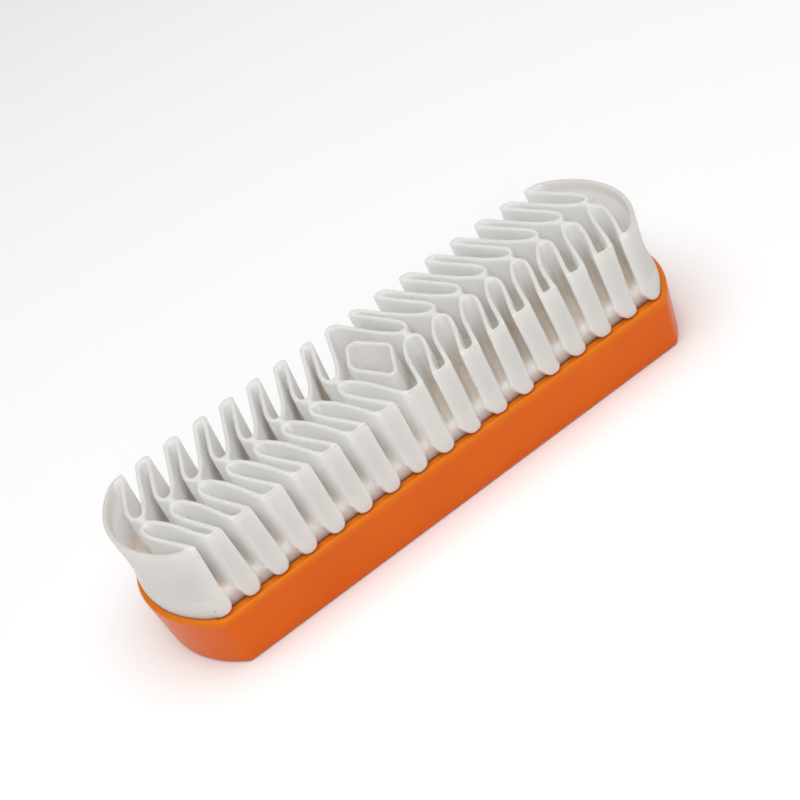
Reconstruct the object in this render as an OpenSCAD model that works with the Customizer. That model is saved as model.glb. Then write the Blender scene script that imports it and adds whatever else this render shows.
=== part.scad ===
// Suede brush: a moulded rubber block of thin zigzag fins, bonded into a
// shallow plastic tray that is the handle.
// The brush lies on its flat back with the fins up.
// X runs along the brush, Y across it, Z up; the origin is in the middle of
// the back face.  All lengths are in millimetres.

/* [Handle] */
// Overall length of the handle at its rim
handle_l = 140.2; // [110:0.2:170]
// Overall width of the handle at its rim
handle_w = 44.6; // [40:0.2:56]
// Height of the rim above the back face
handle_h = 13.6; // [11:0.2:22]
// How far each rounded end bows out past its corner edges
end_bow = 9.4; // [6:0.1:13]
// Inward slope of each long side, from the rim down to the back
side_draft = 1.1; // [0.2:0.1:2]
// Inward slope of each end, from the rim down to the back
end_draft = 1.4; // [0.2:0.1:2]
// Width of the open rim beside the rubber, along the long sides
lip_side = 3.1; // [1.6:0.1:3.6]
// Width of the open rim beside the rubber, at the ends
lip_end = 1.4; // [1:0.1:2.4]
// Thickness of the back
floor_t = 2.2; // [1.4:0.1:3]
// Width of the ledge under the edge of the rubber
ledge_w = 2.0; // [1:0.1:3]
// Thickness of the stiffening ribs in the tray
rib_t = 1.6; // [1:0.1:2.4]
// Number of cross ribs in the tray
cross_ribs = 5; // [1:1:9]

/* [Rubber block] */
// Number of fins along the brush, an odd number so that one is central
fins = 17; // [13:2:17]
// Distance from one fin to the next
pitch = 7.4; // [6.8:0.1:7.5]
// Height of the fin tops above the back face
top_h = 32.0; // [27:0.5:40]
// Height of the floor between the fins above the rim
web_h = 4.6; // [3:0.1:8]
// Thickness of each fin wall
wall_t = 1.05; // [0.8:0.05:1.3]
// Half the width of the block across the fin ends, at the top
fin_y = 20.5; // [18.5:0.1:21]
// Width of the gap between two fins at the front long side
gap_front = 2.7; // [2.2:0.1:3.4]
// Width of the gap between two fins at the rear long side
gap_rear = 3.4; // [2.2:0.1:3.6]
// Greatest width of each gap, part of the way in
gap_belly = 3.6; // [2.8:0.1:3.8]
// Diameter of the round inner end of each gap
gap_end_d = 2.5; // [1.8:0.1:3.2]
// How far the middle of each fin is swept towards the near end of the brush
sweep = 5.8; // [3:0.1:7]
// Distance in front of the centre line at which front and rear fins meet
meet_y = 0.6; // [0:0.1:1.5]
// Width of the webs that join the gaps' round ends there
stem_w = 1.7; // [1.2:0.1:2.4]
// How far the foot of each fin end stands out past its top
foot_out = 1.2; // [0.4:0.1:1.4]
// Depth of the block's base below the rim
base_d = 3.1; // [2:0.1:4]
// Clearance between the block's base and the tray
fit_gap = 0.1; // [0.05:0.05:0.3]

/* [Adhesive bed] */
// Thickness of the adhesive under the rubber
bed_t = 0.3; // [0.2:0.1:0.6]

/* [Hidden] */
$fn = 96;

// half sizes of the rim outline, and the radius of its end arcs
rim_x = handle_l / 2;
rim_y = handle_w / 2;
rim_r = (rim_y * rim_y + end_bow * end_bow) / (2 * end_bow);
rim_c = rim_x - rim_r;

// the rubber where it meets the rim: half sizes and end radius
foot_x = rim_x - lip_end;
foot_y = rim_y - lip_side;
foot_r = rim_r - lip_end;

// heights, from the back up
ledge_z = handle_h - base_d - bed_t;
base_z = handle_h - base_d;
floor_z = handle_h + web_h;

// the block's outline at the fin tops
head_x = foot_x + 0.3;
head_r = 27.4;
mid = (fins - 1) / 2;
rib_w = pitch - 3.2;
end_r = gap_end_d / 2;
belly_r = gap_belly / 2;
// how far the gaps' inner ends and bellies lie from the meeting line
end_off = 2.0 + end_r;
belly_off = 8.4;

function fin_x(k) = (k - mid) * pitch;
// the gaps on either side of the central fin lean opposite ways
function lean(k) = k < mid ? -1 : 1;

// A plate with straight sides and a round arc at each end
module plate(xe, yh, r, h) {
    linear_extrude(height = h)
        intersection() {
            square([2 * xe + 2, 2 * yh], center = true);
            union() {
                square([2 * (xe - r) + 8, 2 * yh + 2], center = true);
                for (s = [-1, 1]) translate([s * (xe - r), 0]) circle(r = r);
            }
        }
}

// Long bar across the handle's section: narrower at the back than at the rim
module side_taper() {
    rotate([90, 0, 90])
        linear_extrude(height = handle_l + 10, center = true)
            polygon([[-rim_y + side_draft, 0], [rim_y - side_draft, 0],
                     [rim_y, handle_h], [-rim_y, handle_h]]);
}

module handle_shape() {
    intersection() {
        side_taper();
        union() {
            translate([-rim_c - 4, -rim_y - 1, 0]) cube([2 * rim_c + 8, handle_w + 2, handle_h]);
            for (s = [-1, 1]) translate([s * rim_c, 0, 0])
                cylinder(h = handle_h, r1 = rim_r - end_draft, r2 = rim_r);
        }
    }
}

// The hollow below the ledge, left open between the ribs
module tray_cells() {
    cell_y = foot_y - ledge_w;
    difference() {
        translate([0, 0, floor_t])
            plate(foot_x - ledge_w, cell_y, foot_r - ledge_w, ledge_z - floor_t + 0.01);
        // one rib along the middle, and the cross ribs
        translate([-handle_l / 2, -rib_t / 2, 0]) cube([handle_l, rib_t, handle_h]);
        for (i = [1 : cross_ribs])
            translate([(i / (cross_ribs + 1) - 0.5) * 2 * foot_x - rib_t / 2, -rim_y, 0])
                cube([rib_t, handle_w, handle_h]);
    }
}

module handle() {
    color([0.85, 0.40, 0.12])
        difference() {
            handle_shape();
            translate([0, 0, ledge_z]) plate(foot_x, foot_y, foot_r, handle_h);
            tray_cells();
        }
}

module adhesive_bed() {
    color([0.80, 0.74, 0.55])
        translate([0, 0, ledge_z])
            plate(foot_x - 4 * fit_gap, foot_y - 4 * fit_gap, foot_r - 4 * fit_gap, bed_t);
}

// One gap between two fins: open at a long side, widest part of the way in,
// and round at its inner end.  side is -1 for the front half of the brush
// and 1 for the rear half.  grow widens the gap all round, to give the outside
// of the fin walls beside it.
module gap_2d(k, side, grow) {
    reach = fin_y + side * meet_y;
    slope = sweep / reach;
    xm = fin_x(k + 0.5);
    // middle of the gap at a distance d from the meeting line
    function gx(d) = xm + lean(k + 0.5) * slope * (reach - d);
    function gy(d) = side * d - meet_y;
    d_out = reach + 3;
    m = (side < 0 ? gap_front : gap_rear) / 2 + grow * 1.04;
    translate([gx(end_off), gy(end_off)]) circle(r = end_r + grow);
    translate([gx(belly_off), gy(belly_off)]) circle(r = belly_r + grow);
    polygon([[gx(end_off) - end_r * 0.96 - grow, gy(end_off)],
             [gx(belly_off) - belly_r - grow, gy(belly_off)],
             [gx(d_out) - m, gy(d_out)], [gx(d_out) + m, gy(d_out)],
             [gx(belly_off) + belly_r + grow, gy(belly_off)],
             [gx(end_off) + end_r * 0.96 + grow, gy(end_off)]]);
}

module gaps_2d(grow) {
    for (k = [0 : fins - 2], side = [-1, 1]) gap_2d(k, side, grow);
}

module head_2d(inset) {
    xe = head_x - inset;
    yh = fin_y - inset;
    r = head_r - inset;
    intersection() {
        square([2 * xe + 2, 2 * yh], center = true);
        union() {
            square([2 * (xe - r) + 8, 2 * yh + 2], center = true);
            for (s = [-1, 1]) translate([s * (xe - r), 0]) circle(r = r);
        }
    }
}

// The closed loop of wall that stands inside the central fin
module ring_2d(rx, ry, tip) {
    polygon([[-tip, -ry], [tip, -ry], [rx, -tip], [rx, tip],
             [tip, ry], [-tip, ry], [-rx, tip], [-rx, -tip]]);
}

// All the fin walls in plan
module fins_2d() {
    difference() {
        head_2d(0);
        difference() {
            head_2d(wall_t);
            gaps_2d(wall_t);
        }
        gaps_2d(0);
    }
    // short webs between the round ends of opposite gaps
    difference() {
        for (k = [0 : fins - 2])
            translate([fin_x(k + 0.5) + lean(k + 0.5) * sweep, -meet_y])
                square([stem_w, 2 * end_off], center = true);
        gaps_2d(0);
    }
    translate([0, -meet_y]) difference() {
        ring_2d(0.74 * pitch, 1.70 * pitch, 0.14 * pitch);
        ring_2d(0.74 * pitch - 1.08 * wall_t, 1.70 * pitch - 1.7 * wall_t, 0.09 * pitch);
    }
}

// The outer face of the fin ends on one long side, leaning out to the foot
module end_skin() {
    z0 = handle_h + 0.1;
    rotate([90, 0, 90])
        linear_extrude(height = handle_l, center = true)
            polygon([[fin_y - wall_t, z0], [fin_y + foot_out, z0],
                     [fin_y, top_h], [fin_y - wall_t, top_h]]);
}

// Posts that the fin ends run down in, with round feet over the rim
module fin_feet() {
    zc = handle_h + 0.1 + rib_w / 2;
    intersection() {
        union() {
            end_skin();
            mirror([0, 1, 0]) end_skin();
        }
        union() {
            for (k = [0 : fins - 1]) translate([fin_x(k), 0, 0]) {
                translate([-rib_w / 2, -handle_w, zc]) cube([rib_w, 2 * handle_w, top_h - zc]);
                translate([0, 0, zc]) rotate([90, 0, 0])
                    cylinder(h = 2 * handle_w, r = rib_w / 2, center = true, $fn = 48);
            }
        }
        plate(head_x, rim_y, rim_r, top_h);
    }
}

module crepe_block() {
    color([0.88, 0.87, 0.85]) {
        translate([0, 0, base_z])
            plate(foot_x - fit_gap, foot_y - fit_gap, foot_r - fit_gap, floor_z - base_z);
        translate([0, 0, floor_z - 0.5])
            linear_extrude(height = top_h - floor_z + 0.5) fins_2d();
        fin_feet();
    }
}

handle();
adhesive_bed();
crepe_block();
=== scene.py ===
"""Suede brush: orange moulded tray and white crepe rubber block with 17 zigzag fins.

Lengths in the rubber and tray builders are in millimetres, and are turned into
metres when the meshes are made.
"""
import bpy
import math
import numpy as np
from mathutils import Matrix, Vector


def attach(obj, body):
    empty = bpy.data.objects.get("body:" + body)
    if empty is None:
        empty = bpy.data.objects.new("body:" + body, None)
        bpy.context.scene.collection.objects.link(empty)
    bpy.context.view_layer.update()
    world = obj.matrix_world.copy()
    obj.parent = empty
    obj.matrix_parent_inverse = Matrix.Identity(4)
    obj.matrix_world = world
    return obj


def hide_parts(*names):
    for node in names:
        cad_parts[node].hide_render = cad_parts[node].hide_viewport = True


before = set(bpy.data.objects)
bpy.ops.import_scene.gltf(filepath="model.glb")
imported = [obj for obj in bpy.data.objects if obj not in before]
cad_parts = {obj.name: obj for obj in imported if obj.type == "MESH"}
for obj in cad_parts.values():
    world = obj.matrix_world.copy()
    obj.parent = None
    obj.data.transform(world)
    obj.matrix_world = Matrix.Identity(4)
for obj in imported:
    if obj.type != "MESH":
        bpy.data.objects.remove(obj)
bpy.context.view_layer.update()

# ---------------------------------------------------------------- camera
cam_data = bpy.data.cameras.new("camera")
cam_data.sensor_width = 36.0
cam_data.sensor_fit = "HORIZONTAL"
cam_data.lens = 83.238
cam = bpy.data.objects.new("camera", cam_data)
bpy.context.scene.collection.objects.link(cam)
AZ, EL, ROLL = math.radians(-15.984), math.radians(33.461), math.radians(-26.856)
back = Vector((math.sin(AZ) * math.cos(EL), -math.cos(AZ) * math.cos(EL), math.sin(EL)))
side = (-back).cross(Vector((0, 0, 1))).normalized()
rise = side.cross(-back)
right = math.cos(ROLL) * side + math.sin(ROLL) * rise
up = -math.sin(ROLL) * side + math.cos(ROLL) * rise
where = back * 0.42338 - right * 0.00559 + up * 0.01408
rot = Matrix((right, up, back)).transposed().to_4x4()
cam.matrix_world = Matrix.Translation(where) @ rot
bpy.context.scene.camera = cam

# ---------------------------------------------------------------- rubber block, as a field

PITCH = 7.4
Y0 = -0.6          # line on which front and rear fins meet
Z_FLOOR, Z_TOP = 18.2, 32.0
WALL = 1.05

# gap between fins k and k+1 (k = 1..16): front half
# (shift at the mouth, halfway, at the inner end), half widths at mouth and belly, belly distance
FRONT = {
    1: ((0.10, 0.0, 0.0), 1.30, 1.80, 8.4), 2: ((-0.95, -0.5, 0.0), 1.30, 1.80, 8.4),
    3: ((-0.90, -0.4, 0.0), 1.35, 1.85, 8.4), 4: ((-0.25, -0.1, 0.0), 1.30, 1.80, 8.4),
    5: ((-0.50, -0.2, -0.1), 1.30, 1.85, 8.4), 6: ((-0.50, -0.2, -0.1), 1.30, 1.80, 8.4),
    7: ((-0.50, -0.2, -0.1), 1.30, 1.85, 8.4), 8: ((-0.15, 0.0, 0.3), 1.30, 1.80, 8.4),
    9: ((-0.53, -0.75, -0.75), 1.22, 1.95, 8.4), 10: ((-0.48, -0.55, -0.35), 1.30, 1.92, 8.4),
    11: ((-0.38, -0.36, -0.05), 1.35, 1.74, 8.4), 12: ((-0.78, -0.75, -0.50), 1.00, 1.45, 8.4),
    13: ((-0.88, -0.83, -0.50), 1.25, 1.65, 8.6), 14: ((-0.78, -1.03, -0.48), 1.50, 1.85, 11.0),
    15: ((-0.48, -0.11, -0.13), 1.30, 1.66, 8.4), 16: ((-0.18, 0.19, 0.02), 1.00, 1.45, 8.8)}
# the same for the rear half
REAR = {
    1: ((0.06, -0.15, 0.05), 1.48, 1.64, 8.4), 2: ((-0.13, -0.02, 0.05), 1.82, 1.74, 8.4),
    3: ((0.37, 0.28, 0.05), 1.95, 1.77, 8.4), 4: ((0.45, 0.22, 0.05), 1.72, 1.66, 8.4),
    5: ((0.58, 0.33, 0.08), 1.73, 1.73, 8.4), 6: ((0.62, 0.40, 0.08), 1.82, 1.76, 8.4),
    7: ((0.65, 0.42, 0.1), 1.86, 1.78, 8.4), 8: ((0.45, 0.32, 0.15), 1.73, 1.74, 8.4),
    9: ((-0.75, -0.45, -0.2), 1.70, 1.85, 8.4), 10: ((-1.35, -0.95, -0.1), 2.18, 2.0, 8.4),
    11: ((-1.0, -0.65, 0.0), 1.85, 1.85, 8.4), 12: ((-1.08, -0.65, 0.0), 1.98, 1.95, 8.4),
    13: ((-1.02, -0.62, 0.0), 1.96, 1.92, 8.4), 14: ((-1.27, -0.78, 0.0), 2.16, 2.0, 8.4),
    15: ((-0.80, -0.52, 0.0), 1.97, 1.94, 8.4), 16: ((-0.98, -0.55, 0.1), 1.86, 1.87, 8.4)}
SWEEP = 5.9
END_D = 2.0        # inner end of each gap, from the meeting line

def gap_line(k, side, d, top=1.0):
    """x of the middle of gap k at distances d from the meeting line."""
    s = (FRONT if side < 0 else REAR)[k][0]
    reach = 19.9 if side < 0 else 21.1
    lean = -1 if k < 9 else 1
    rest = -0.40 if side < 0 else -0.15
    u = np.clip((reach - d) / (reach - 5.0), -0.3, 1.25)
    q = s[0] * (1 - u) * (1 - 2 * u) + s[1] * 4 * u * (1 - u) + s[2] * u * (2 * u - 1)
    r0 = rest * (1 - u)
    q = r0 + (q - r0) * top
    dd = np.where(d > 4.2, d, 4.2 - 0.45 * (4.2 - d))          # straightens out at the inner end
    base = lean * SWEEP * (reach - dd) / (reach - 3.4)
    return (k + 0.5 - 9) * PITCH + base + q

def gap_half(k, side, d, top=1.0):
    hm, hb, db = (FRONT if side < 0 else REAR)[k][1:]
    hm = hm * top + (1.38 if side < 0 else 1.80) * (1 - top)   # even at the floor
    reach = 19.9 if side < 0 else 21.1
    t = np.clip((d - db) / (reach - db), 0, 1); sm = t * t * (3 - 2 * t)
    out = hb + (hm - hb) * sm
    e = np.clip((db - d) / (db - END_D), 0, 1)
    return np.where(d < db, hb * np.maximum(0.0, 1 - e ** 2.25) ** (1 / 2.1), out)

def gap_outline(k, side, top=1.0, n=15):
    db = (FRONT if side < 0 else REAR)[k][3]
    reach = 21.1 if side > 0 else 19.9
    a = END_D + (db - END_D) * (1 - np.cos(np.linspace(0, np.pi / 2, n)))
    b = np.linspace(db, reach + 5.0, 9)[1:]
    d = np.concatenate([a, b])
    c, h = gap_line(k, side, d, top), gap_half(k, side, d, top)
    y = side * d + Y0
    left = np.column_stack([c - h, y]); right = np.column_stack([c + h, y])
    return np.vstack([left[::-1], right[1:]])                 # from mouth left, round the end, to mouth right

def poly_sdf(P, X, Y):
    """Signed distance to the closed polygon P, negative inside."""
    d2 = np.full(X.shape, 1e9); inside = np.zeros(X.shape, bool)
    n = len(P)
    for i in range(n):
        ax, ay = P[i]; bx, by = P[(i + 1) % n]
        ex, ey = bx - ax, by - ay
        wx, wy = X - ax, Y - ay
        L = ex * ex + ey * ey
        if L < 1e-12: continue
        t = np.clip((wx * ex + wy * ey) / L, 0, 1)
        dx, dy = wx - ex * t, wy - ey * t
        np.minimum(d2, dx * dx + dy * dy, out=d2)
        c = ((ay <= Y) & (by > Y)) | ((by <= Y) & (ay > Y))
        with np.errstate(divide='ignore', invalid='ignore'):
            xs = ax + (Y - ay) * (ex / ey if ey else 0.0)
        inside ^= c & (X < xs)
    d = np.sqrt(d2)
    return np.where(inside, -d, d)

def smax(a, b, k):
    h = np.maximum(k - np.abs(a - b), 0) / k
    return np.maximum(a, b) + h * h * k * 0.25
def smin(a, b, k):
    return -smax(-a, -b, k)

def gaps_field(xs, ys, top, far=4.0, pad=2.6):
    """Distance to the nearest gap outline on the grid xs, ys."""
    F = np.full((len(xs), len(ys)), far)
    for k in range(1, 17):
        for side in (-1, 1):
            P = gap_outline(k, side, top)
            x0, x1 = P[:, 0].min() - pad, P[:, 0].max() + pad
            y0, y1 = P[:, 1].min() - pad, P[:, 1].max() + pad
            i0, i1 = np.searchsorted(xs, [x0, x1]); j0, j1 = np.searchsorted(ys, [y0, y1])
            if i1 <= i0 or j1 <= j0: continue
            X, Y = np.meshgrid(xs[i0:i1], ys[j0:j1], indexing='ij')
            d = poly_sdf(P, X, Y)
            F[i0:i1, j0:j1] = np.minimum(F[i0:i1, j0:j1], d)
    return F

def outline_field(X, Y, xe, yh, r, k=3.0):
    """Rounded plan outline: straight sides and round ends."""
    sx = np.abs(X); cx = xe - r
    circ = np.where(sx > cx, np.hypot(sx - cx, Y) - r, np.abs(Y) - r)
    return smax(circ, np.abs(Y) - yh, k)

RING = np.array([(0.1, -9.6), (3.95, -1.0), (3.95, 0.2), (0.1, 8.0), (-1.1, 8.1), (-4.0, 2.0), (-4.0, -0.6), (-0.4, -9.6)])
def ring_field(X, Y):
    return poly_sdf(RING, X, Y) - 0.75                       # middle line of the ring wall

def cove(X, z):
    """How far the end walls are drawn in at height z, between rim and top."""
    a = np.sin(np.pi * np.clip((z - 14.6) / 16.4, 0, 1)) ** 1.3
    return a * np.where(X > 0, 0.55, 0.45)

def fins_field(xs, ys, z):
    """2-D field of the fin walls at height z, negative in the rubber."""
    t = np.clip((z - Z_FLOOR) / (Z_TOP - Z_FLOOR), 0, 1)
    X, Y = np.meshgrid(xs, ys, indexing='ij')
    g = gaps_field(xs, ys, t ** 1.3)
    g = g + 0.20 * (1 - t)
    yh = 20.5 + 1.2 * (Z_TOP - z) / 18.4
    head = outline_field(X, Y, 68.7 + 0.3 * t - cove(X, z), yh, 27.4 + 1.6 * (1 - t))
    wt = WALL + 0.18 * (1 - t) + np.where(Y > 0, 0.5, 0.35) * np.clip((np.abs(Y) - 15.0) / 4.5, 0, 1) ** 2
    rear = np.clip((Y - 15.0) / 3.0, 0, 1) * np.clip((61.0 - np.abs(X)) / 3.0, 0, 1)
    inset = head + (1.15 + 0.15 * (1 - t)) + 0.55 * rear
    hollow = smax(inset, wt - g, 0.9)
    corner = np.where(Y > 0, 1.8, 0.9)
    solid = smax(smax(head, -g, corner), -hollow, 0.12)
    ring = np.abs(ring_field(X, Y)) - (0.5 + 0.08 * (1 - t))
    solid = smin(solid, ring, 0.5)
    # webs between opposite gaps
    for k in range(1, 17):
        xj = 0.5 * (gap_line(k, -1, np.array(2.0), t) + gap_line(k, 1, np.array(2.0), t))
        i0, i1 = np.searchsorted(xs, [xj - 3, xj + 3]); j0, j1 = np.searchsorted(ys, [-4.5, 3.5])
        Xs, Ys = X[i0:i1, j0:j1], Y[i0:i1, j0:j1]
        st = np.hypot(Xs - xj, np.maximum(np.abs(Ys - Y0) - 1.2, 0)) - 0.72
        st = np.maximum(st, -g[i0:i1, j0:j1])
        solid[i0:i1, j0:j1] = smin(solid[i0:i1, j0:j1], st, 1.1)
    return solid

def rib_x(k, z, side):
    a = np.clip((z - 14.3) / 4.0, 0, 1); a = a * a * (3 - 2 * a)
    return (k - 9) * PITCH + 0.2 * (1 - a) + (-0.40 if side < 0 else -0.15) * a

def round_and(a, b, r):
    """Intersection of two fields with a round edge of radius r."""
    p, q = a + r, b + r
    return np.hypot(np.maximum(p, 0), np.maximum(q, 0)) + np.minimum(np.maximum(p, q), 0) - r

def body_field(X, Y, z):
    """Field of the solid lower part at height z: base, floor and feet."""
    if z < 13.6:
        web = outline_field(X, Y, 68.70, 19.27, 29.7, 0.4)
        return np.maximum(web, 10.5 - z)
    a = (z - 13.6) / (Z_FLOOR - 13.6)
    bulge = 0.38 * min(1.0, a / 0.55) ** 0.7
    web = outline_field(X, Y, 68.66 + 0.1 * a - cove(X, z), 19.27 + bulge, 29.7 - 0.6 * a, 1.2)
    web = round_and(web, np.full_like(web, z - Z_FLOOR), 1.7)
    # ribs and their round feet
    yf = 20.5 + 1.2 * (Z_TOP - z) / 18.4
    b = np.clip((z - 14.2) / 3.6, 0, 1); b = b * b * (3 - 2 * b)
    hw = 2.10 + b * np.where(Y < 0, 0.26, -0.16)
    xk = np.where(Y < 0, rib_x(9, z, -1), rib_x(9, z, 1))
    n = np.clip(np.round((X - xk) / PITCH), -8, 8)
    xk = xk + b * np.sign(n) * SWEEP * (20.5 - yf) / np.where(Y < 0, 16.5, 17.7)
    dx = X - xk - n * PITCH
    across = np.where(n == 8, -dx, np.where(n == -8, dx, np.abs(dx)))      # the end ribs run into the end walls
    foot = round_and(across - hw, np.full_like(X, 13.66 - z), 2.0)
    ribs = round_and(foot, np.abs(Y) - yf, 1.25 - 0.55 * b)
    ends = outline_field(X, Y, 68.8 - cove(X, z), 30.0, 29.9, 0.5)
    ribs = smax(ribs, round_and(ends, np.full_like(X, 13.62 - z), 0.25), 0.7 + 2.3 * b)
    ribs = np.maximum(ribs, z - Z_FLOOR - 0.2)
    return smin(web, ribs, 0.25 + 0.65 * np.clip((z - 13.7) / 2.0, 0, 1))

def rubber_field(xs, ys, zs):
    X, Y = np.meshgrid(xs, ys, indexing='ij')
    F = np.empty((len(xs), len(ys), len(zs)), np.float32)
    for i, z in enumerate(zs):
        f = np.full(X.shape, 9.0)
        if z < Z_FLOOR + 1.6:
            f = body_field(X, Y, z)
        if z > Z_FLOOR - 0.9:
            fin = fins_field(xs, ys, z)
            r = 0.44
            if z > Z_TOP - r:
                v = min(z - (Z_TOP - r), r)
                fin = fin + r - np.sqrt(max(r * r - v * v, 0.0))
            fin = np.maximum(fin, z - Z_TOP)
            fin = np.maximum(fin, Z_FLOOR - 0.8 - z)
            depth = -outline_field(X, Y, 68.7 - cove(X, z), 20.5 + 1.2 * (Z_TOP - z) / 18.4, 28.9)
            f = smin(f, fin, 0.12 + 1.08 * np.clip(depth / 1.6, 0, 1))       # fillets inside, flush outside
        F[:, :, i] = f
    return F

LEVELS = np.array([10.35, 10.65, 12.2, 13.3, 13.55, 13.62, 13.7, 13.8, 13.95, 14.15, 14.4, 14.7, 15.1, 15.6, 16.1, 16.5, 16.8, 17.1,
                   17.35, 17.6, 17.82, 18.0, 18.14, 18.28, 18.45, 18.65, 18.95, 19.4, 20.0, 21.0, 22.2, 23.5, 24.8, 26.2, 27.6, 29.0,
                   30.2, 31.0, 31.35, 31.58, 31.72, 31.83, 31.91, 31.97, 32.03, 32.12])

def surface_nets(xs, ys, zs, F):
    S = F < 0
    nx, ny, nz = F.shape
    P = np.zeros((nx - 1, ny - 1, nz - 1, 3), np.float32); N = np.zeros((nx - 1, ny - 1, nz - 1), np.float32)
    crosses = []
    grids = (xs.astype(np.float32), ys.astype(np.float32), zs.astype(np.float32))
    for ax in range(3):
        lo = [slice(None)] * 3; hi = [slice(None)] * 3
        lo[ax] = slice(0, -1); hi[ax] = slice(1, None)
        a, b = F[tuple(lo)], F[tuple(hi)]
        M = S[tuple(lo)] != S[tuple(hi)]
        crosses.append(M)
        idx = np.nonzero(M)
        av, bv = a[idx], b[idx]
        t = av / (av - bv)
        pos = [grids[d][idx[d]] for d in range(3)]
        g = grids[ax]
        pos[ax] = g[idx[ax]] + t * (g[idx[ax] + 1] - g[idx[ax]])
        o = [d for d in range(3) if d != ax]
        for s0 in (0, 1):
            for s1 in (0, 1):
                ci = [idx[0], idx[1], idx[2]]
                ci[o[0]] = idx[o[0]] - s0; ci[o[1]] = idx[o[1]] - s1
                ok = (ci[o[0]] >= 0) & (ci[o[1]] >= 0) & (ci[o[0]] < P.shape[o[0]]) & (ci[o[1]] < P.shape[o[1]])
                c = (ci[0][ok], ci[1][ok], ci[2][ok])
                for d in range(3): P[c + (np.full(len(c[0]), d),)] += pos[d][ok]      # each cell meets each edge once
                N[c] += 1
    act = N > 0
    ids = np.full(act.shape, -1, np.int64); ids[act] = np.arange(act.sum())
    V = P[act] / N[act][:, None]
    quads = []
    for ax in range(3):
        o = [d for d in range(3) if d != ax]
        i = list(np.nonzero(crosses[ax]))
        ok = (i[o[0]] > 0) & (i[o[1]] > 0) & (i[o[0]] < ids.shape[o[0]]) & (i[o[1]] < ids.shape[o[1]])
        i = [v[ok] for v in i]
        inside = S[tuple(i)]
        def cell(s0, s1):
            c = [i[0], i[1], i[2]]; c[o[0]] = i[o[0]] - s0; c[o[1]] = i[o[1]] - s1
            return ids[tuple(c)]
        q = np.column_stack([cell(1, 1), cell(0, 1), cell(0, 0), cell(1, 0)])
        flip = inside if ax != 1 else ~inside
        q = np.where(flip[:, None], q, q[:, ::-1])
        quads.append(q)
    return V, np.vstack(quads)

import bmesh
def mesh_from(name, verts_mm, faces):
    """Mesh object from vertices in millimetres and an array of quads."""
    me = bpy.data.meshes.new(name)
    v = (np.asarray(verts_mm, np.float64) * 0.001).astype(np.float32)
    f = np.asarray(faces, np.int32)
    me.vertices.add(len(v)); me.vertices.foreach_set("co", v.ravel())
    me.loops.add(f.size); me.loops.foreach_set("vertex_index", f.ravel())
    me.polygons.add(len(f))
    me.polygons.foreach_set("loop_start", np.arange(0, f.size, f.shape[1], dtype=np.int32))
    me.update(calc_edges=True)
    me.validate()
    ob = bpy.data.objects.new(name, me)
    bpy.context.scene.collection.objects.link(ob)
    return ob

def apply_modifiers(ob):
    dg = bpy.context.evaluated_depsgraph_get()
    me = bpy.data.meshes.new_from_object(ob.evaluated_get(dg))
    ob.modifiers.clear()
    old = ob.data
    ob.data = me
    bpy.data.meshes.remove(old)
    return me

def tidy(me, dist=0.000004):
    """Merge points that fall together and drop faces without area."""
    bm = bmesh.new(); bm.from_mesh(me)
    bmesh.ops.remove_doubles(bm, verts=bm.verts, dist=dist)
    bmesh.ops.dissolve_degenerate(bm, edges=bm.edges, dist=dist)
    bm.to_mesh(me); bm.free()
    me.update()

step = 0.30
xs = np.arange(-69.75, 69.76, step); ys = np.arange(-22.65, 22.66, step)
F = rubber_field(xs, ys, LEVELS)
V, Q = surface_nets(xs, ys, LEVELS, F)
rubber = mesh_from("crepe_fins", V, Q)
dec = rubber.modifiers.new("thin", "DECIMATE")
dec.ratio = min(1.0, 186000.0 / (2.0 * len(Q)))
me = apply_modifiers(rubber)
tidy(me)
me.polygons.foreach_set("use_smooth", np.ones(len(me.polygons), bool))
me.update()

# ---------------------------------------------------------------- orange tray, lofted
RIM_X, RIM_Y, BOW = 70.1, 22.3, 9.4
RIM_R = (RIM_Y ** 2 + BOW ** 2) / (2 * BOW)
RIM_C = RIM_X - RIM_R
FIL = 3.6                                       # radius of the upright corners

def tray_outline():
    """Rim outline: points, outward normals and how much each belongs to a long side."""
    yc = RIM_Y - FIL
    xc = RIM_C + math.sqrt((RIM_R - FIL) ** 2 - yc ** 2)
    th = math.atan2(yc, xc - RIM_C)             # where the end arc hands over to the corner
    P, N, W = [], [], []
    for i in range(45):                         # end arc, upper half to the corner
        a = th * i / 44
        P.append((RIM_C + RIM_R * math.cos(a), RIM_R * math.sin(a))); N.append((math.cos(a), math.sin(a))); W.append(0.0)
    for i in range(1, 13):                      # upright corner
        a = th + (math.pi / 2 - th) * i / 12
        P.append((xc + FIL * math.cos(a), yc + FIL * math.sin(a))); N.append((math.cos(a), math.sin(a))); W.append(i / 12.0)
    n = 48
    for i in range(1, n + 1):                   # long side to the middle
        P.append((xc * (1 - i / n), RIM_Y)); N.append((0.0, 1.0)); W.append(1.0)
    q = list(zip(P, N, W))
    m = [((-p[0], p[1]), (-a[0], a[1]), w) for p, a, w in q[::-1][1:]]
    top = q + m
    low = [((p[0], -p[1]), (a[0], -a[1]), w) for p, a, w in top[::-1][1:-1]]
    full = top + low
    return (np.array([f[0] for f in full]), np.array([f[1] for f in full]), np.array([f[2] for f in full]))

TP, TN, TW = tray_outline()
smooth_w = TW * TW * (3 - 2 * TW)

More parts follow.
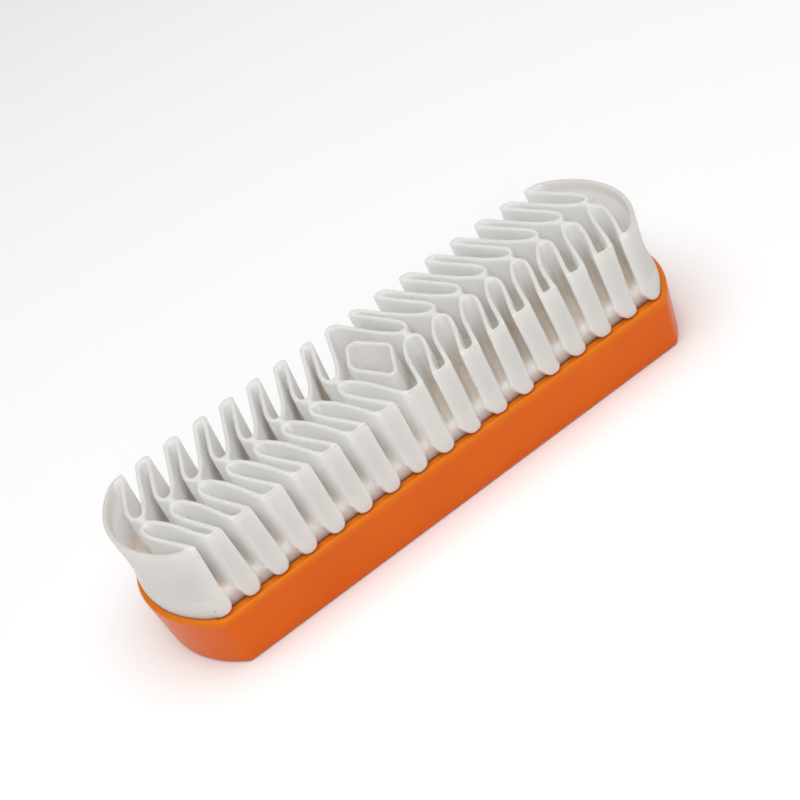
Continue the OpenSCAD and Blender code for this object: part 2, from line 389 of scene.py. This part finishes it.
def tray_ring(z, inset, extra_side=0.0, extra_end=0.0, bow=1.0):
    """One loop of the loft: the outline drawn in along its normals."""
    t = 1 - z / 13.6
    draft = t * (1.1 * smooth_w + 1.4 * (1 - smooth_w))
    pull = bow * 0.55 * np.clip(z / 13.6, 0, 1) ** 1.5 * smooth_w * np.clip(1 - (TP[:, 0] / 60.0) ** 2, 0, 1)
    d = draft + pull + inset + extra_side * smooth_w + extra_end * (1 - smooth_w)
    p = TP - TN * d[:, None]
    return np.column_stack([p, np.full(len(p), z)])

rings = []
RB, RT = 0.9, 0.8
for f in (0.0, 0.35):                            # flat back, towards the edge
    r = tray_ring(0.0, RB); r[:, :2] *= np.array([0.2 + 0.8 * f, 0.2 + 0.8 * f]); rings.append(r)
rings.append(tray_ring(0.0, RB + 1.5)); rings.append(tray_ring(0.0, RB + 0.25))
for i in range(0, 7):                            # rounded edge round the back
    a = math.pi / 2 * i / 6
    rings.append(tray_ring(RB - RB * math.cos(a), RB - RB * math.sin(a)))
for z in (1.6, 3.0, 5.0, 7.0, 9.0, 11.0, 12.2, 12.8):
    rings.append(tray_ring(z, 0.0))
for i in range(0, 7):                            # rounded outer edge of the rim
    a = math.pi / 2 * i / 6
    rings.append(tray_ring(13.6 - RT + RT * math.sin(a), RT - RT * math.cos(a)))
for e in (0.3, 0.8, 1.5, 2.2):                   # the lip
    rings.append(tray_ring(13.6, RT, extra_side=e * (2.8 - RT) / 2.8, extra_end=e * 0.2, bow=1 - e / 2.5))
RI = 0.12
for i in range(0, 5):                            # inner edge of the rim, and the wall of the recess
    a = math.pi / 2 * i / 4
    rings.append(tray_ring(13.6 - RI + RI * math.cos(a), RI - RI * math.sin(a), extra_side=3.05 - RI, extra_end=1.36 - RI, bow=0.0))
for z in (12.4, 11.2, 10.3):
    t = 1 - z / 13.6
    rings.append(tray_ring(z, 0.0, extra_side=3.05 - 1.1 * t, extra_end=1.36 - 1.4 * t, bow=0.0))
for f in (0.9, 0.45, 0.1):                       # ledge and floor under the rubber
    r = tray_ring(10.2, 0.0, extra_side=3.05 - 0.275, extra_end=1.36 - 0.35, bow=0.0); r[:, :2] *= f; rings.append(r)
n = len(TP)
V = np.vstack(rings + [np.array([[0, 0, 0.0]]), np.array([[0, 0, 10.2]])])
quads, tris = [], []
idx = np.arange(n); nxt = (idx + 1) % n
for j in range(len(rings) - 1):
    a, b = j * n, (j + 1) * n
    quads.append(np.column_stack([a + idx, a + nxt, b + nxt, b + idx]))
quads = np.vstack(quads)
c0, c1 = len(rings) * n, len(rings) * n + 1
last = (len(rings) - 1) * n
faces = [tuple(q) for q in quads] + [(c0, int(nxt[i]), int(idx[i])) for i in range(n)] + [(c1, int(last + idx[i]), int(last + nxt[i])) for i in range(n)]
me = bpy.data.meshes.new("tray")
me.from_pydata([tuple(v) for v in V * 0.001], [], faces)
me.update(); me.validate()
tidy(me)
for p in me.polygons: p.use_smooth = True
tray = bpy.data.objects.new("tray_shell", me)
bpy.context.scene.collection.objects.link(tray)

# ---------------------------------------------------------------- materials
def new_mat(name):
    m = bpy.data.materials.new(name); m.use_nodes = True
    nt = m.node_tree; nt.nodes.clear()
    out = nt.nodes.new("ShaderNodeOutputMaterial"); b = nt.nodes.new("ShaderNodeBsdfPrincipled")
    nt.links.new(b.outputs[0], out.inputs[0])
    return m, nt, b

def node(nt, kind, **kw):
    nd = nt.nodes.new(kind)
    for k, v in kw.items():
        if k in nd.inputs.keys(): nd.inputs[k].default_value = v
        else: setattr(nd, k, v)
    return nd

def noise(nt, co, scale, detail=3.0, rough=0.55):
    nd = nt.nodes.new("ShaderNodeTexNoise")
    nd.inputs["Scale"].default_value = scale; nd.inputs["Detail"].default_value = detail; nd.inputs["Roughness"].default_value = rough
    nt.links.new(co, nd.inputs["Vector"])
    return nd

def ramp(nt, fac, stops):
    nd = nt.nodes.new("ShaderNodeValToRGB"); cr = nd.color_ramp
    while len(cr.elements) < len(stops): cr.elements.new(0.5)
    for e, (p, c) in zip(cr.elements, stops):
        e.position = p; e.color = (c[0], c[1], c[2], 1.0) if len(c) == 3 else c
    nt.links.new(fac, nd.inputs[0])
    return nd

def maprange(nt, val, a, b, c, d):
    nd = nt.nodes.new("ShaderNodeMapRange")
    for i, v in zip((1, 2, 3, 4), (a, b, c, d)): nd.inputs[i].default_value = v
    nt.links.new(val, nd.inputs[0])
    return nd

def bump(nt, height, strength, dist, normal=None):
    nd = nt.nodes.new("ShaderNodeBump"); nd.inputs["Strength"].default_value = strength; nd.inputs["Distance"].default_value = dist
    nt.links.new(height, nd.inputs["Height"])
    if normal is not None: nt.links.new(normal, nd.inputs["Normal"])
    return nd

# orange plastic: satin moulding with faint flow clouds, orange peel, hairline scuffs and a painted highlight, a
# lighter orange band along the rim
m_or, nt, b = new_mat("orange_plastic")
tc = nt.nodes.new("ShaderNodeTexCoord"); co = tc.outputs["Object"]
cl = noise(nt, co, 38.0, 3.0)
col = ramp(nt, cl.outputs["Fac"], [(0.25, (0.740, 0.117, 0.0018)), (0.5, (0.770, 0.128, 0.0022)), (0.8, (0.800, 0.142, 0.0026))])
sz = nt.nodes.new("ShaderNodeSeparateXYZ"); nt.links.new(co, sz.inputs[0])
# painted highlight: the top 1.8 mm of the tray walls, the rim and the lip are mixed towards a lighter orange
rim = maprange(nt, sz.outputs[2], 0.0118, 0.0134, 0.0, 1.0)
rim_highlight_mix = nt.nodes.new("ShaderNodeMix"); rim_highlight_mix.data_type = "RGBA"
nt.links.new(rim.outputs[0], rim_highlight_mix.inputs["Factor"]); nt.links.new(col.outputs[0], rim_highlight_mix.inputs["A"]); rim_highlight_mix.inputs["B"].default_value = (0.80, 0.195, 0.006, 1)
nt.links.new(rim_highlight_mix.outputs["Result"], b.inputs["Base Color"])
rg = noise(nt, co, 120.0, 4.0)
mr = maprange(nt, rg.outputs["Fac"], 0.3, 0.7, 0.27, 0.36)
nt.links.new(mr.outputs[0], b.inputs["Roughness"])
peel = noise(nt, co, 900.0, 2.0)
scf = nt.nodes.new("ShaderNodeMapping"); scf.inputs["Scale"].default_value = (60.0, 900.0, 500.0); scf.inputs["Rotation"].default_value = (0.1, 0.2, 0.15)
nt.links.new(co, scf.inputs["Vector"])
sn = noise(nt, scf.outputs[0], 3.0, 4.0, 0.7)
b1 = bump(nt, peel.outputs["Fac"], 0.10, 0.00005)
b2 = bump(nt, sn.outputs["Fac"], 0.06, 0.00003, b1.outputs[0])
nt.links.new(b2.outputs[0], b.inputs["Normal"])
b.inputs["IOR"].default_value = 1.49
b.inputs["Specular IOR Level"].default_value = 0.18
b.inputs["Subsurface Weight"].default_value = 0.12
b.inputs["Subsurface Radius"].default_value = (1.0, 0.35, 0.1)
b.inputs["Subsurface Scale"].default_value = 0.0012

# white rubber: matt, slightly translucent, with moulding pores, faint flow marks and painted shade, a warmer, darker
# tone low in the gaps
m_ru, nt, b = new_mat("white_rubber")
tc = nt.nodes.new("ShaderNodeTexCoord"); co = tc.outputs["Object"]
cl = noise(nt, co, 55.0, 4.0)
col = ramp(nt, cl.outputs["Fac"], [(0.3, (0.955, 0.936, 0.905)), (0.55, (0.968, 0.952, 0.926)), (0.75, (0.978, 0.965, 0.943))])
sep = nt.nodes.new("ShaderNodeSeparateXYZ"); nt.links.new(co, sep.inputs[0])
# painted shade: the rubber low inside the gaps is multiplied towards a warm brownish grey, patchy with noise, fading
# out by 25.5 mm up and kept off the end walls
deep_painted_shade = maprange(nt, sep.outputs[2], 0.0188, 0.0255, 1.0, 0.0)
painted_shade_mix = nt.nodes.new("ShaderNodeMix"); painted_shade_mix.data_type = "RGBA"; painted_shade_mix.blend_type = "MULTIPLY"
gr = noise(nt, co, 260.0, 4.0)
ay = nt.nodes.new("ShaderNodeMath"); ay.operation = "ABSOLUTE"; nt.links.new(sep.outputs[1], ay.inputs[0])
inner = maprange(nt, ay.outputs[0], 0.0180, 0.0198, 1.0, 0.0)
gn = maprange(nt, gr.outputs["Fac"], 0.25, 0.75, 0.45, 1.0)
gmul = nt.nodes.new("ShaderNodeMath"); gmul.operation = "MULTIPLY"
nt.links.new(deep_painted_shade.outputs[0], gmul.inputs[0]); nt.links.new(gn.outputs[0], gmul.inputs[1])
sc2 = nt.nodes.new("ShaderNodeMath"); sc2.operation = "MULTIPLY"
nt.links.new(gmul.outputs[0], sc2.inputs[0]); nt.links.new(inner.outputs[0], sc2.inputs[1])
nt.links.new(sc2.outputs[0], painted_shade_mix.inputs["Factor"])
nt.links.new(col.outputs[0], painted_shade_mix.inputs["A"]); painted_shade_mix.inputs["B"].default_value = (0.88, 0.80, 0.72, 1)
# a faint painted orange cast where the rubber meets the rim, in place of light reflected from it
low = maprange(nt, sep.outputs[2], 0.0136, 0.0162, 0.55, 0.0)
mixl = nt.nodes.new("ShaderNodeMix"); mixl.data_type = "RGBA"; mixl.blend_type = "MULTIPLY"
nt.links.new(low.outputs[0], mixl.inputs["Factor"]); nt.links.new(painted_shade_mix.outputs["Result"], mixl.inputs["A"])
mixl.inputs["B"].default_value = (0.97, 0.80, 0.72, 1)
# outer faces and fin tops are given a darker white than the walls inside the gaps; this stands in for
# very even light, which the lamps here don't give, and isn't wear
def mth(op, a, c, clamp=False):
    n = nt.nodes.new("ShaderNodeMath"); n.operation = op; n.use_clamp = clamp
    for i, v in enumerate((a, c)):
        if isinstance(v, (int, float)): n.inputs[i].default_value = v
        else: nt.links.new(v, n.inputs[i])
    return n.outputs[0]
ax = nt.nodes.new("ShaderNodeMath"); ax.operation = "ABSOLUTE"; nt.links.new(sep.outputs[0], ax.inputs[0])
ex = mth("MAXIMUM", mth("SUBTRACT", ax.outputs[0], 0.0413), 0.0)
er = mth("SQRT", mth("ADD", mth("MULTIPLY", ex, ex), mth("MULTIPLY", sep.outputs[1], sep.outputs[1])), 0.0)
m_end = maprange(nt, er, 0.02628, 0.02645, 0.0, 1.0)
m_side = maprange(nt, ay.outputs[0], 0.0199, 0.0203, 0.0, 1.0)
nt.links.new(mth("MULTIPLY", sc2.outputs[0], mth("SUBTRACT", 1.0, m_end.outputs[0])), painted_shade_mix.inputs["Factor"])
m_low = maprange(nt, sep.outputs[2], 0.0180, 0.0160, 0.0, 1.0)
m_out = mth("MAXIMUM", mth("MAXIMUM", m_end.outputs[0], m_side.outputs[0]), m_low.outputs[0])
mixo = nt.nodes.new("ShaderNodeMix"); mixo.data_type = "RGBA"; mixo.blend_type = "MULTIPLY"
nt.links.new(m_out, mixo.inputs["Factor"]); nt.links.new(mixl.outputs["Result"], mixo.inputs["A"])
mixo.inputs["B"].default_value = (0.768, 0.756, 0.740, 1)
m_top = maprange(nt, sep.outputs[2], 0.03150, 0.03185, 0.0, 1.0)
mixt = nt.nodes.new("ShaderNodeMix"); mixt.data_type = "RGBA"; mixt.blend_type = "MULTIPLY"
nt.links.new(m_top.outputs[0], mixt.inputs["Factor"]); nt.links.new(mixo.outputs["Result"], mixt.inputs["A"])
mixt.inputs["B"].default_value = (0.762, 0.749, 0.732, 1)
# specks
vor = nt.nodes.new("ShaderNodeTexVoronoi"); vor.inputs["Scale"].default_value = 330.0; nt.links.new(co, vor.inputs["Vector"])
sel = nt.nodes.new("ShaderNodeSeparateColor"); nt.links.new(vor.outputs["Color"], sel.inputs[0])
few = nt.nodes.new("ShaderNodeMath"); few.operation = "GREATER_THAN"; few.inputs[1].default_value = 0.955
nt.links.new(sel.outputs[0], few.inputs[0])
dot = maprange(nt, vor.outputs["Distance"], 0.04, 0.085, 1.0, 0.0)
spk = nt.nodes.new("ShaderNodeMath"); spk.operation = "MULTIPLY"
nt.links.new(few.outputs[0], spk.inputs[0]); nt.links.new(dot.outputs[0], spk.inputs[1])
mixs = nt.nodes.new("ShaderNodeMix"); mixs.data_type = "RGBA"
nt.links.new(spk.outputs[0], mixs.inputs["Factor"])
nt.links.new(mixt.outputs["Result"], mixs.inputs["A"]); mixs.inputs["B"].default_value = (0.42, 0.36, 0.30, 1)
nt.links.new(mixs.outputs["Result"], b.inputs["Base Color"])
mr = maprange(nt, gr.outputs["Fac"], 0.3, 0.7, 0.50, 0.66)
nt.links.new(mr.outputs[0], b.inputs["Roughness"])
wav = noise(nt, co, 160.0, 3.0)
fine = noise(nt, co, 1500.0, 3.0)
b1 = bump(nt, wav.outputs["Fac"], 0.25, 0.00012)
b2 = bump(nt, fine.outputs["Fac"], 0.22, 0.00005, b1.outputs[0])
inv = nt.nodes.new("ShaderNodeMath"); inv.operation = "MULTIPLY"; inv.inputs[1].default_value = -1.0
nt.links.new(spk.outputs[0], inv.inputs[0])
b3 = bump(nt, inv.outputs[0], 0.6, 0.00012, b2.outputs[0])
nt.links.new(b3.outputs[0], b.inputs["Normal"])
b.inputs["IOR"].default_value = 1.45
b.inputs["Subsurface Weight"].default_value = 1.0
b.inputs["Subsurface Radius"].default_value = (1.0, 0.94, 0.88)
b.inputs["Subsurface Scale"].default_value = 0.0050

# adhesive
m_ad, nt, b = new_mat("adhesive")
tc = nt.nodes.new("ShaderNodeTexCoord")
cl = noise(nt, tc.outputs["Object"], 220.0, 4.0)
col = ramp(nt, cl.outputs["Fac"], [(0.3, (0.55, 0.42, 0.20)), (0.7, (0.66, 0.53, 0.28))])
nt.links.new(col.outputs[0], b.inputs["Base Color"])
mr = maprange(nt, cl.outputs["Fac"], 0.3, 0.7, 0.25, 0.45); nt.links.new(mr.outputs[0], b.inputs["Roughness"])
b1 = bump(nt, cl.outputs["Fac"], 0.3, 0.0001); nt.links.new(b1.outputs[0], b.inputs["Normal"])

def give(ob, mat):
    ob.data.materials.clear(); ob.data.materials.append(mat)

give(rubber, m_ru); give(tray, m_or)
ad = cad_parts["adhesive_bed"]
for s in ad.material_slots: s.link = "OBJECT"; s.material = m_ad

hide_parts("crepe_block"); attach(rubber, "root")
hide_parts("handle"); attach(tray, "root")

# ---------------------------------------------------------------- floor and light
fm = bpy.data.meshes.new("floor")
fm.from_pydata([(-3, -3, 0), (3, -3, 0), (3, 3, 0), (-3, 3, 0)], [], [(0, 1, 2, 3)])
floor = bpy.data.objects.new("floor", fm); bpy.context.scene.collection.objects.link(floor)
m_fl, nt, b = new_mat("pale_floor")
b.inputs["Base Color"].default_value = (0.95, 0.95, 0.95, 1); b.inputs["Roughness"].default_value = 0.9
b.inputs["Specular IOR Level"].default_value = 0.1
fm.materials.append(m_fl)

def area(name, loc, target, size, power, color=(1, 1, 1)):
    l = bpy.data.lights.new(name, "AREA"); l.shape = "DISK"; l.size = size; l.energy = power; l.color = color
    o = bpy.data.objects.new(name, l); bpy.context.scene.collection.objects.link(o)
    d = (Vector(target) - Vector(loc)).normalized()
    o.matrix_world = Matrix.Translation(Vector(loc)) @ d.to_track_quat("-Z", "Y").to_matrix().to_4x4()
    return o

area("key", (-0.06, -0.12, 1.10), (0, 0, 0.01), 1.6, 14.3)
area("front", (-0.30, -1.04, 0.74), (0, 0, 0.01), 0.6, 2.8)
w = bpy.data.worlds.new("world"); bpy.context.scene.world = w; w.use_nodes = True
bg = w.node_tree.nodes.get("Background") or w.node_tree.nodes.new("ShaderNodeBackground")
bg.inputs[0].default_value = (1, 1, 1, 1); bg.inputs[1].default_value = 0.20

bpy.context.scene.view_settings.view_transform = "Standard"
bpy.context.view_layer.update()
